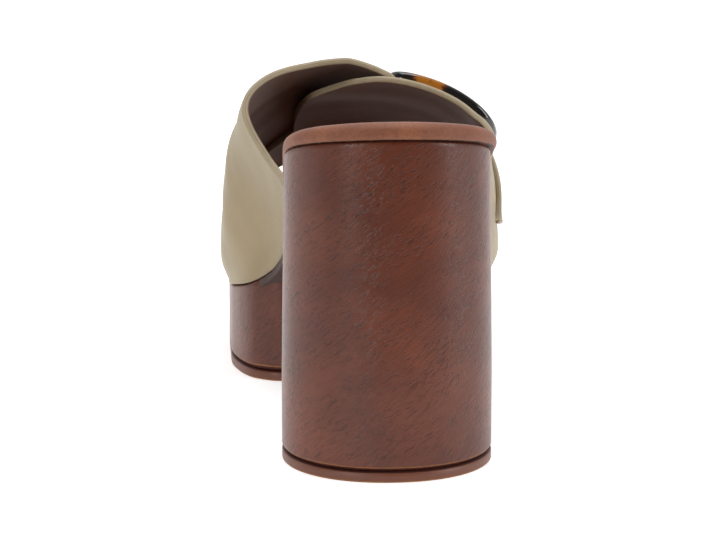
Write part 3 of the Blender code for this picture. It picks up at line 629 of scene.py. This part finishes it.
def strap_edge(name, thickness):
    """Painted cut edge of two layers, with the thin line between them."""
    g = Graph(name, Roughness=0.5)
    uv = g.wrap()
    across = g.node("SeparateXYZ", {"Vector": uv}).outputs["Y"]
    wander = g.math("SUBTRACT", g.noise(g.mapped(uv, (180.0, 1.0, 1.0))), 0.5)
    wobble = g.math("MULTIPLY", wander, thickness * 0.12)
    away = g.math("ABSOLUTE", g.math("SUBTRACT", g.math("ADD", across, wobble), thickness * 0.5))
    line = g.math("SUBTRACT", 1.0, g.math("DIVIDE", away, thickness * 0.10), clamp=True)
    tone = g.noise(g.mapped(uv, (260.0, 260.0, 1.0)), detail=3.0)
    base = g.mix(tone, srgb(146, 131, 104), srgb(166, 150, 122))
    g.link(g.mix(g.math("MULTIPLY", line, 0.45), base, srgb(92, 78, 62)), "Base Color")
    g.link(g.bump(g.math("SUBTRACT", g.math("MULTIPLY", tone, 0.3), line), 0.25, 0.0002), "Normal")
    return g.material


def footbed_leather(name):
    """Tan rolled leather, soft and slightly napped; the darker, ragged line where it meets the block is a
    separate material.
    """
    g = Graph(name, Roughness=0.62, Sheen_Weight=0.10, Sheen_Roughness=0.4)
    nap = g.noise(g.object(), scale=1100.0, detail=4.0, roughness=0.65)
    tone = g.noise(g.object(), scale=90.0, detail=3.0)
    base = g.mix(g.ramp(tone, (0.35, 0.0), (0.68, 1.0)), srgb(122, 68, 41), srgb(140, 84, 54))
    base = g.mix(g.math("MULTIPLY", g.ramp(nap, (0.45, 0.0), (0.66, 1.0)), 0.45), base, srgb(88, 46, 29))
    g.link(base, "Base Color")
    g.link(g.bump(nap, 0.22, 0.0003), "Normal")
    return g.material


def foot_dark_line(name):
    """Ragged dark line at the rolled rim's foot, below its bulge, where it meets the covering."""
    g = Graph(name, Roughness=0.6)
    ragged = g.noise(g.mapped(g.wrap(), (650.0, 400.0, 1.0)), detail=3.0)
    torn = g.ramp(ragged, (0.47, 0.0), (0.54, 1.0))
    g.link(g.mix(torn, srgb(46, 22, 16), srgb(108, 62, 42)), "Base Color")
    g.link(g.bump(ragged, 0.4, 0.0004), "Normal")
    return g.material


def tortoiseshell(name):
    """Polished acetate: near-black with amber patches at the places charted on the buckle."""
    g = Graph(name, Roughness=0.09, Coat_Weight=0.6, Coat_Roughness=0.04, IOR=1.5)
    place = g.object()
    patch = g.node("Attribute", attribute_name="amber").outputs["Fac"]
    clouds = g.noise(place, scale=240.0, detail=3.0, distortion=0.8)
    specks = g.noise(place, scale=900.0, detail=2.0)
    torn = g.math("MULTIPLY", g.math("SUBTRACT", clouds, 0.5), 1.5)
    fine = g.math("MULTIPLY", g.math("SUBTRACT", specks, 0.5), 0.35)
    value = g.math("ADD", patch, g.math("ADD", torn, fine), clamp=True)
    stops = (
        (0.20, srgb(20, 16, 14)),
        (0.38, srgb(44, 24, 14)),
        (0.55, srgb(96, 48, 16)),
        (0.80, srgb(160, 98, 26)),
    )
    g.link(g.ramp(value, *stops), "Base Color")
    return g.material


def sole_rubber(name):
    """Dense brown soling, satin at the side; the fine ribbed tread below is a separate material."""
    g = Graph(name, Roughness=0.42)
    place = g.object()
    tone = g.noise(place, scale=140.0, detail=4.0)
    g.link(g.mix(tone, srgb(92, 48, 30), srgb(112, 62, 40)), "Base Color")
    g.link(g.bump(g.noise(place, scale=1200.0, detail=3.0), 0.15, 0.0002), "Normal")
    return g.material


def tread_rubber(name):
    """The underside: a fine grid of low ribs in tan rubber."""
    g = Graph(name, Roughness=0.6)
    place = g.object()
    waves = [
        g.node("TexWave", {"Vector": place, "Scale": 95.0}, bands_direction=axis).outputs["Fac"]
        for axis in ("X", "Y")
    ]
    ribs = g.math("MAXIMUM", waves[0], waves[1])
    g.link(g.mix(ribs, srgb(96, 60, 42), srgb(134, 88, 62)), "Base Color")
    g.link(g.bump(ribs, 0.5, 0.0005), "Normal")
    return g.material


WOOD = wood_wrap("wood_grain_wrap")
OCHRE = painted("ochre_line", srgb(146, 92, 44), 0.45)
# The groove's dark colour is painted shade in the recess between each block and its sole.
GROOVE_PAINTED_SHADE = painted("groove_painted_shade", srgb(74, 32, 22), 0.6)
SOLE = sole_rubber("sole_side")
TREAD = tread_rubber("sole_tread")
LEATHER = strap_leather("strap_leather", srgb(147, 129, 95))
EDGE = strap_edge("strap_edge", OUTER_STRAP)
LINING = strap_leather("strap_lining", srgb(98, 66, 50), grain=0.7, roughness=0.6)
TAN = footbed_leather("footbed_tan")
RIM_FOOT_DARK = foot_dark_line("rim_foot_dark_line")
SHELL = tortoiseshell("tortoiseshell")
BOARD = strap_leather("board_leather", srgb(56, 30, 20), grain=0.8, roughness=0.6, wrapped=False)


def fixed(obj, slot, *nodes):
    """The piece rides on the shoe's one body and stands for these nodes."""
    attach(obj, "root")
    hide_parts(*nodes)
    return obj


# Blocks and soles

BLOCK_STATIONS = 110


def make_heel():
    foot = SOLE_THICKNESS + GAP
    chamfer = GROOVE_CHAMFER / HEEL_HEIGHT
    key = [
        (0.0, HEEL_FOOT_INSET + GROOVE_DEPTH),
        (chamfer, HEEL_FOOT_INSET),
        (0.25, HEEL_FOOT_INSET),
        (0.50, 0.0),
        (0.75, HEEL_HEAD_INSET * 0.5),
        (1.0, HEEL_HEAD_INSET),
    ]
    shares = [0.0, chamfer * 0.35, chamfer * 0.8, chamfer * 1.1, chamfer * 1.8]
    shares += list(np.linspace(0.04, 0.985, 26)) + [0.993, 1.0]
    insets = np.interp(shares, [k[0] for k in key], [k[1] for k in key])
    insets[-1] += 0.0005
    levels = [
        (inset, lambda s, share=share: lerp(foot, bed(s), share))
        for share, inset in zip(shares, insets)
    ]
    # The two lowest bands take the groove's painted shade, the next band the ochre line.
    bands = [2, 2, 1, 0] + [0] * (len(levels) - 5)
    stations = end_spaced(0.0, HEEL_LENGTH, BLOCK_STATIONS)
    slots = [WOOD, OCHRE, GROOVE_PAINTED_SHADE]
    heel = layered("heel_block", stations, heel_outline, levels, (0.25, 0.5, 0.75), slots, bands)
    return fixed(heel, "wood_grain", "heel")


def dense_platform_stations():
    back = HEEL_LENGTH + ARCH_SPAN
    start = TOE_ROUNDING * SHOE_LENGTH
    turn = np.radians(np.linspace(0.0, 88.0, 24))
    corner = back + PLATFORM_CORNER * (1.0 - np.cos(turn))
    middle = np.linspace(back + PLATFORM_CORNER, start, 46)
    toe = lerp(start, SHOE_LENGTH, np.sin(np.radians(np.linspace(1.5, 90.0, 60))))
    return np.concatenate([corner, middle, toe])


def make_platform():
    chamfer = GROOVE_CHAMFER / PLATFORM_HEIGHT
    shares = [0.0, chamfer * 0.35, chamfer * 0.8, chamfer * 1.1, chamfer * 1.8]
    shares += [0.2, 0.35, 0.5, 0.65, 0.8, 0.93, 0.98, 1.0]
    insets = [GROOVE_DEPTH, GROOVE_DEPTH * 0.6, GROOVE_DEPTH * 0.15] + [0] * 8 + [0.0002, 0.0007]

    def foot(s):
        return floor_line(s) + SOLE_THICKNESS + GAP

    levels = [
        (inset, lambda s, share=share: lerp(foot(s), bed(s), share))
        for share, inset in zip(shares, insets)
    ]
    # The two lowest bands take the groove's painted shade, the next band the ochre line.
    bands = [2, 2, 1, 0] + [0] * (len(levels) - 5)
    columns = np.linspace(0.0, 1.0, 12)[1:-1]
    stations, slots = dense_platform_stations(), [WOOD, OCHRE, GROOVE_PAINTED_SHADE]
    block = layered("platform_block", stations, platform_outline, levels, columns, slots, bands)
    return fixed(block, "wood_grain", "platform")


def make_sole(name, node, stations, outline, ground, inset):
    """Thin wearing layer: ochre line at the ground edge, brown side, and painted shade on the groove
    above.
    """
    profile = (
        (0.0007, 0.0), (0.0002, 0.0001), (0.0, 0.0003), (0.0, 0.00055), (0.0, 0.0016),
        (0.0, 0.0026), (0.0002, 0.0030), (0.0006, 0.0032), (GROOVE_DEPTH, SOLE_THICKNESS),
    )
    levels = [(inset + cut, lambda s, z=z: ground(s) + z) for cut, z in profile]
    # The top two bands and the top cap take the groove's painted shade.
    bands = [2, 2, 2, 1, 1, 1, 3, 3]
    slots = [TREAD, SOLE, OCHRE, GROOVE_PAINTED_SHADE]
    columns = np.linspace(0.0, 1.0, 14)[1:-1]
    sole = layered(name, stations, outline, levels, columns, slots, bands, top_slot=3)
    return fixed(sole, "sole_rubber", node)


# Footbed

RIM_PROFILE = (
    # inset, share of the rim's height
    (0.0012, 0.00), (0.0003, 0.02), (-0.0004, 0.07), (-0.0007, 0.13), (-0.00095, 0.22), (-0.0011, 0.35),
    (-0.0011, 0.50), (-0.0009, 0.66), (-0.0004, 0.81), (0.0004, 0.92), (0.0014, 0.985), (0.0026, 1.0),
    (0.0040, 0.975), (0.0052, 0.93),
)
TUCK_RUN = 0.011
EDGE_SHARE = 0.07
REAR_TUCK_STATIONS = (0.066, 0.080, 16)
FRONT_TUCK_STATIONS = (0.188, 0.210, 24)
END_RUN = 0.010
STATION_CLEARANCE = 0.0005


def tucked_outline(stations):
    """The footbed's outline, drawn in where the straps' walls stand on the blocks' edge."""
    left, right = footbed_outline(stations)
    spans = (
        (OUTER_EDGES[0, REAR], INNER_EDGES[0, FRONT], INNER_STRAP + OUTER_STRAP - STRAP_SEAM),
        (INNER_EDGES[-1, REAR], INNER_EDGES[-1, FRONT], INNER_STRAP),
    )
    cuts = []
    for rear, front, wall in spans:
        into = smooth((stations - rear * SHOE_LENGTH + TUCK_RUN) / TUCK_RUN)
        out = smooth((front * SHOE_LENGTH + TUCK_RUN - stations) / TUCK_RUN)
        cuts.append(into * out * (wall + RIM_BULGE + GAP))
    return left + cuts[0], right - cuts[1]


@functools.lru_cache(maxsize=None)
def free_edges(station):
    """Where the footbed's edges would stand with no strap beside it, and its middle is shaped."""
    left, right = footbed_outline(np.array([station]))
    return float(left[0]), float(right[0])


@functools.lru_cache(maxsize=None)
def held_edges(station):
    left, right = tucked_outline(np.array([station]))
    return float(left[0]), float(right[0])


def make_footbed():
    stations = np.unique(np.concatenate([
        end_spaced(0.0, SHOE_LENGTH, 150),
        np.linspace(*REAR_TUCK_STATIONS),
        np.linspace(*FRONT_TUCK_STATIONS),
    ]))
    inside = (stations > END_RUN) & (stations < SHOE_LENGTH - END_RUN)
    apart = np.concatenate([[True], np.diff(stations) > STATION_CLEARANCE])
    stations = stations[~inside | apart]
    levels = [
        (inset, lambda s, share=share: bed(s) + GAP + RIM_HEIGHT * share)
        for inset, share in RIM_PROFILE
    ]
    # The two lowest bands take the ragged dark line at the rim's foot.
    bands = [1, 1] + [0] * (len(levels) - 3)
    top = RIM_PROFILE[-1][1]

    def crown(station, share):
        """Dished seat and forefoot with a slight crown under the arch."""
        along = station / SHOE_LENGTH
        free = free_edges(float(station))
        held = held_edges(float(station))
        place = (lerp(held[0], held[1], share) - free[0]) / max(free[1] - free[0], GAP)
        near_edge = smooth(min(share, 1.0 - share) / EDGE_SHARE)
        hollow = math.sin(math.pi * min(max(place, 0.0), 1.0)) ** 0.7 * near_edge
        arch = math.exp(-((along - 0.42) / 0.10) ** 2) * math.exp(-((share - 0.28) / 0.22) ** 2)
        return -(FOOTBED_DISH - (1.0 - top) * RIM_HEIGHT) * hollow + 0.0012 * arch

    columns = np.linspace(0.0, 1.0, 30)[1:-1]
    bed_pad = layered("footbed_pad", stations, tucked_outline, levels, columns, [TAN, RIM_FOOT_DARK], bands, crown)
    return fixed(bed_pad, "footbed_leather", "footbed")


# Straps

STRAP_SHEET = 0.00205
EDGE_DOME = 0.00045
EDGE_POINTS = 7
STRAP_ACROSS = 72
STRAP_FACES_CLEAR = 0.00005
SLOW_WAVES_PER_METRE = 38.0
SLOW_WAVE_HEIGHT = 0.00022
QUICK_WAVES_PER_METRE = 110.0
QUICK_WAVE_HEIGHT = 0.00006


def strap_line(edges, girth):
    narrow = curve(edges, NARROW, girth)
    half = STRAP_AT_BUCKLE / 2.0
    rear = lerp(curve(edges, REAR, girth) * SHOE_LENGTH, buckle_station() - half, narrow)
    front = lerp(curve(edges, FRONT, girth) * SHOE_LENGTH, buckle_station() + half, narrow)
    return rear, front


def leather_wave(point, shift):
    """Slight unevenness of cut leather, a fraction of a millimetre."""
    slow = noise.noise(Vector(point) * SLOW_WAVES_PER_METRE + Vector((shift, 0.0, 0.0)))
    quick = noise.noise(Vector(point) * QUICK_WAVES_PER_METRE + Vector((0.0, shift, 0.0)))
    return SLOW_WAVE_HEIGHT * slow + QUICK_WAVE_HEIGHT * quick


def make_strap(name, edges, rows, lift, tip=None, shift=0.0):
    """One strap: outer face, domed cut edges and lining, as one closed mesh."""
    girths = np.linspace(edges[0, 0], edges[-1, 0], rows)
    rear, front = strap_line(edges, girths)
    fold = np.ones_like(girths)
    if tip is not None:
        turn = np.radians(np.linspace(4.0, 90.0, 26))
        half = (front[-1] - rear[-1]) / 2.0 * lerp(np.cos(turn), 1.0, TAIL_TIP_FLAT)
        middle = (front[-1] + rear[-1]) / 2.0
        girths = np.concatenate([girths, lerp(edges[-1, 0], tip, np.sin(turn))])
        rear = np.concatenate([rear, middle - half])
        front = np.concatenate([front, middle + half])
        fold = np.concatenate([fold, np.ones_like(turn)])
        bulge = np.radians(np.array([25.0, 50.0, 70.0, 86.0]))
        girths = np.concatenate([girths, tip + EDGE_DOME / 0.17 * np.sin(bulge)])
        rear = np.concatenate([rear, np.full(4, rear[-1]) + EDGE_DOME * (1.0 - np.cos(bulge))])
        front = np.concatenate([front, np.full(4, front[-1]) - EDGE_DOME * (1.0 - np.cos(bulge))])
        fold = np.concatenate([fold, np.cos(bulge)])
    share = np.linspace(0.0, 1.0, STRAP_ACROSS)
    edge = np.linspace(0.0, 1.0, EDGE_POINTS + 2)[1:-1]
    dome = EDGE_DOME * np.sin(math.pi * edge) ** 0.7
    across = np.concatenate([share, np.ones(EDGE_POINTS), share[::-1], np.zeros(EDGE_POINTS)])
    height = np.concatenate([np.ones(STRAP_ACROSS), 1.0 - edge, np.zeros(STRAP_ACROSS), edge])
    reach = np.concatenate([np.zeros(STRAP_ACROSS), dome, np.zeros(STRAP_ACROSS), -dome])
    loop = len(across)
    station = lerp(rear[:, None], front[:, None], across[None, :]) + reach[None, :]
    girth = np.broadcast_to(girths[:, None], station.shape)
    raised = 0.5 + (height[None, :] - 0.5) * fold[:, None]
    under = lift(station, girth)
    flat = on_form(station, girth, under)
    waves = np.array([[leather_wave(p, shift) for p in line] for line in flat])
    places = on_form(station, girth, under + STRAP_SHEET * raised + waves)
    length = buckle_girth_length()
    vertices = [tuple(p) for line in places for p in line]
    faces, indices, uvs = [], [], []
    first_edge = STRAP_ACROSS - 1
    inner_start = STRAP_ACROSS + EDGE_POINTS
    last_edge = loop - EDGE_POINTS - 1
    for i in range(len(girths) - 1):
        for k in range(loop):
            n = (k + 1) % loop
            face = (i * loop + k, (i + 1) * loop + k, (i + 1) * loop + n, i * loop + n)
            faces.append(face)
            if k < first_edge:
                slot = 0
            elif inner_start <= k < last_edge:
                slot = 2
            else:
                slot = 1
            indices.append(slot)
            pair = []
            for row, column in ((i, k), (i + 1, k), (i + 1, n), (i, n)):
                if slot == 1:
                    rise = height[column] if column != 0 or k != loop - 1 else 1.0
                    pair.append((girths[row] * length, rise * OUTER_STRAP))
                else:
                    pair.append((girths[row] * length, station[row, column]))
            uvs.append(pair)
    for i in (0, len(girths) - 1):
        for k in range(STRAP_ACROSS - 1):
            outside = i * loop + k
            inside = i * loop + inner_start + STRAP_ACROSS - 2 - k
            faces.append((outside, outside + 1, inside, inside + 1))
            indices.append(1)
            uvs.append([(0.0, 0.0)] * 4)
        for start in (first_edge, last_edge):
            ring = [i * loop + (start + step) % loop for step in range(EDGE_POINTS + 2)]
            faces.append(tuple(ring))
            indices.append(1)
            uvs.append([(0.0, 0.0)] * len(ring))
    return textured(name, vertices, faces, [LEATHER, EDGE, LINING], indices, uvs)


def make_upper():
    outer = make_strap("outer_strap", OUTER_EDGES, 210, outer_lift_clear, TAIL_TIP, shift=1.7)
    inner = make_strap("inner_strap", INNER_EDGES, 190, lambda s, u: np.zeros_like(s), shift=5.3)
    for strap in (outer, inner):
        fixed(strap, "strap_leather", "upper")
    return outer, inner


def outer_lift_clear(station, girth):
    """The outer strap's underside, just clear of the inner strap's face."""
    return outer_lift(station, girth) + STRAP_SEAM - (INNER_STRAP - STRAP_SHEET) + STRAP_FACES_CLEAR


# Buckle

FRAME_SQUARENESS = 0.62
PIN_SQUARENESS = 0.6
PIN_RISE_RUN = 0.0016
AMBER_PATCHES = (
    # across, along, half length, half width, strength
    (-0.0048, -0.0210, 0.0062, 0.006, 0.95),
    (0.0085, -0.0185, 0.0032, 0.002, 0.60),
    (-0.0145, 0.0020, 0.0050, 0.007, 0.85),
    (0.0150, -0.0060, 0.0050, 0.008, 0.90),
    (0.0150, 0.0130, 0.0050, 0.004, 0.70),
    (0.0060, 0.0210, 0.0070, 0.006, 0.90),
    (-0.0100, 0.0200, 0.0040, 0.004, 0.60),
    (0.0000, 0.0040, 0.0040, 0.006, 0.80),
    (0.0000, -0.0120, 0.0040, 0.004, 0.50),
)


def chart_amber(obj, across, along):
    """Store how amber the shell is at each vertex, from its place across and along the buckle."""
    amber = np.zeros(across.size)
    for x, y, half_length, half_width, strength in AMBER_PATCHES:
        away = np.hypot((across.ravel() - x) / half_length, (along.ravel() - y) / half_width)
        amber = np.maximum(amber, strength * (1.0 - smooth((away - 0.55) / 0.75)))
    chart = obj.data.attributes.new("amber", "FLOAT", "POINT")
    chart.data.foreach_set("value", amber)


def on_buckle(across, along, height):
    return on_form(buckle_station() + along, BUCKLE_PLACE + across / buckle_girth_length(), height)


def make_buckle():
    half_across = (BUCKLE_GIRTH - BUCKLE_BAR) / 2.0
    half_along = (STRAP_AT_BUCKLE + BUCKLE_BAR) / 2.0 + STRAP_SIDE_CLEARANCE
    radius = BUCKLE_CORNER - BUCKLE_BAR / 2.0
    low = INNER_STRAP - STRAP_SEAM + OUTER_STRAP + 2.0 * GAP
    middle = low + BUCKLE_THICKNESS / 2.0
    path = []
    corners = ((1, 1, 0), (-1, 1, 90), (-1, -1, 180), (1, -1, 270))
    for index, (cx, cy, start) in enumerate(corners):
        for turn in np.radians(start + np.linspace(0.0, 90.0, 14)):
            direction = (math.cos(turn), math.sin(turn))
            x = cx * (half_across - radius) + radius * direction[0]
            y = cy * (half_along - radius) + radius * direction[1]
            path.append((x, y, *direction))
        nx, ny, _ = corners[(index + 1) % 4]
        turn = math.radians(start + 90.0)
        direction = (math.cos(turn), math.sin(turn))
        x0, y0 = path[-1][0], path[-1][1]
        x1 = nx * (half_across - radius) + radius * direction[0]
        y1 = ny * (half_along - radius) + radius * direction[1]
        for share in np.linspace(0.0, 1.0, 24)[1:-1]:
            path.append((lerp(x0, x1, share), lerp(y0, y1, share), *direction))
    path = np.array(path)
    angle = np.linspace(0.0, 2.0 * math.pi, 36, endpoint=False)
    cosine, sine = np.cos(angle), np.sin(angle)
    out = np.sign(cosine) * np.abs(cosine) ** FRAME_SQUARENESS * BUCKLE_BAR / 2.0
    up = np.sign(sine) * np.abs(sine) ** FRAME_SQUARENESS * BUCKLE_THICKNESS / 2.0
    across = path[:, 0:1] + path[:, 2:3] * out[None, :]
    along = path[:, 1:2] + path[:, 3:4] * out[None, :]
    height = np.broadcast_to(middle + up[None, :], across.shape)
    places = on_buckle(across, along, height)
    faces = ring_faces(len(path), len(angle), closed=True)
    frame_piece = mesh_object("buckle_frame", places.reshape(-1, 3), faces, [SHELL])
    chart_amber(frame_piece, across, along)
    fixed(frame_piece, "tortoiseshell", "buckle")

    low_pin = INNER_STRAP + GAP
    step = STRAP_AT_BUCKLE / 2.0 + 2.0 * GAP
    rise = step + PIN_RISE_RUN
    runs = np.concatenate([[-half_along, -rise], np.linspace(-step, step, 24), [rise, half_along]])
    raised = np.array([1, 1] + [0] * 24 + [1, 1])
    angle = np.linspace(0.0, 2.0 * math.pi, 20, endpoint=False)
    cosine, sine = np.cos(angle), np.sin(angle)
    wide = np.sign(cosine) * np.abs(cosine) ** PIN_SQUARENESS * PIN_WIDTH / 2.0
    tall = (np.sign(sine) * np.abs(sine) ** PIN_SQUARENESS + 1.0) / 2.0
    top = np.where(raised == 1, middle, low_pin + PIN_THICKNESS)
    height = low_pin + (top[:, None] - low_pin) * tall[None, :]
    across = np.broadcast_to(wide[None, :], height.shape)
    along = np.broadcast_to(runs[:, None], height.shape)
    faces = ring_faces(len(runs), len(angle), closed=False)
    pin = mesh_object("buckle_pin_bar", on_buckle(across, along, height).reshape(-1, 3), faces, [SHELL])
    chart_amber(pin, across, along)
    fixed(pin, "tortoiseshell", "buckle")


def ring_faces(rings, around, closed):
    """Quads between rings of points; an open tube gets end caps."""
    faces = []
    for i in range(rings if closed else rings - 1):
        j = (i + 1) % rings
        for k in range(around):
            n = (k + 1) % around
            faces.append((i * around + k, i * around + n, j * around + n, j * around + k))
    if not closed:
        faces.append(tuple(range(around)))
        faces.append(tuple((rings - 1) * around + k for k in reversed(range(around))))
    return faces


# Camera, floor and light

CAMERA_PLACE = (-0.0655, -0.8976, 0.2592)
CAMERA_PITCH = 12.563
CAMERA_YAW = -3.651
CAMERA_LENS = 150.92


def make_camera():
    data = bpy.data.cameras.new("camera")
    data.sensor_width = 36.0
    data.lens = CAMERA_LENS
    camera = bpy.data.objects.new("camera", data)
    camera.location = CAMERA_PLACE
    camera.rotation_euler = (math.radians(90.0 - CAMERA_PITCH), 0.0, math.radians(CAMERA_YAW))
    bpy.context.scene.collection.objects.link(camera)
    bpy.context.scene.camera = camera


WORLD_STRENGTH = 0.95
# Strength of the floor's painted glow, then the band in front of the shoe over which the floor fades into
# painted shade.
FLOOR_PAINTED_GLOW = 0.50
WHITE_FLOOR_Y = -0.115
PAINTED_SHADE_FLOOR_Y = -0.28
SOFT_BOXES = (
    # name, place, aim, width and height, watts
    ("left_box", (-0.74, -0.90, 0.40), (0.0, 0.0, 0.06), (0.26, 1.0), 5.5),
    ("right_box", (1.04, -0.50, 0.40), (0.0, 0.0, 0.06), (0.34, 1.0), 7.0),
    ("top_box", (0.0, 0.00, 1.40), (0.0, 0.0, 0.0), (1.0, 1.0), 10.0),
)


def soft_box(name, place, aim, size, watts):
    data = bpy.data.lights.new(name, "AREA")
    data.shape = "RECTANGLE"
    data.size, data.size_y = size
    data.energy = watts
    light = bpy.data.objects.new(name, data)
    light.location = place
    direction = Vector(aim) - Vector(place)
    light.rotation_euler = direction.to_track_quat("-Z", "Y").to_euler()
    bpy.context.scene.collection.objects.link(light)


def floor_with_painted_glow_and_shade():
    """White sweep with a painted glow, as on a light table, that lifts its shadows: bright round the
    shoe, and darkened by painted shade in front of it.
    """
    reach = 6.0
    corners = [(-reach, -reach, 0.0), (reach, -reach, 0.0), (reach, reach, 0.0), (-reach, reach, 0.0)]
    ground = mesh_object("floor", corners, [(0, 1, 2, 3)])
    g = Graph("floor_painted_glow_and_shade", Roughness=0.9, Specular_IOR_Level=0.1)
    depth = g.node("SeparateXYZ", {"Vector": g.object()}).outputs["Y"]
    ahead = g.math("SUBTRACT", depth, PAINTED_SHADE_FLOOR_Y)
    near = g.math("DIVIDE", ahead, WHITE_FLOOR_Y - PAINTED_SHADE_FLOOR_Y, clamp=True)
    # Painted shade: base and emission colours fall from white round the shoe to dark grey in front of it.
    g.link(g.mix(near, (0.16, 0.16, 0.16, 1.0), (0.80, 0.80, 0.80, 1.0)), "Base Color")
    g.link(g.mix(near, (0.16, 0.16, 0.16, 1.0), (1.0, 1.0, 1.0, 1.0)), "Emission Color")
    # Painted glow: the floor gives off light of its own, which lifts its shadows.
    g.shader.inputs["Emission Strength"].default_value = FLOOR_PAINTED_GLOW
    ground.data.materials.append(g.material)


def white_world():
    """Surroundings: white behind the shoe and darker on the camera's side."""
    world = bpy.data.worlds.new("studio")
    bpy.context.scene.world = world
    world.use_nodes = True
    nodes, links = world.node_tree.nodes, world.node_tree.links
    split = nodes.new("ShaderNodeSeparateXYZ")
    shift = nodes.new("ShaderNodeMath")
    ramp = nodes.new("ShaderNodeValToRGB")
    links.new(nodes.new("ShaderNodeTexCoord").outputs["Generated"], split.inputs[0])
    shift.operation = "MULTIPLY_ADD"
    shift.inputs[1].default_value = 0.5
    shift.inputs[2].default_value = 0.5
    links.new(split.outputs["Y"], shift.inputs[0])
    links.new(shift.outputs[0], ramp.inputs[0])
    dark, white = ramp.color_ramp.elements
    dark.position, dark.color = 0.32, (0.12, 0.12, 0.12, 1.0)
    white.position, white.color = 0.66, (1.0, 1.0, 1.0, 1.0)
    links.new(ramp.outputs[0], nodes["Background"].inputs[0])
    nodes["Background"].inputs[1].default_value = WORLD_STRENGTH


def make_studio():
    floor_with_painted_glow_and_shade()
    white_world()
    for box in SOFT_BOXES:
        soft_box(*box)


def main():
    bpy.context.scene.view_settings.view_transform = "Standard"
    make_camera()
    make_studio()
    make_heel()
    make_platform()
    stations = end_spaced(0.0, HEEL_LENGTH, BLOCK_STATIONS)
    make_sole("heel_top_lift", "heel_top_piece", stations, heel_outline, np.zeros_like, HEEL_FOOT_INSET)
    stations = dense_platform_stations()
    make_sole("forefoot_sole", "outsole", stations, platform_outline, floor_line, 0.0)
    make_footbed()
    make_upper()
    make_buckle()
    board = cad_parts["insole_board"]
    for slot in board.material_slots:
        slot.material = BOARD


main()
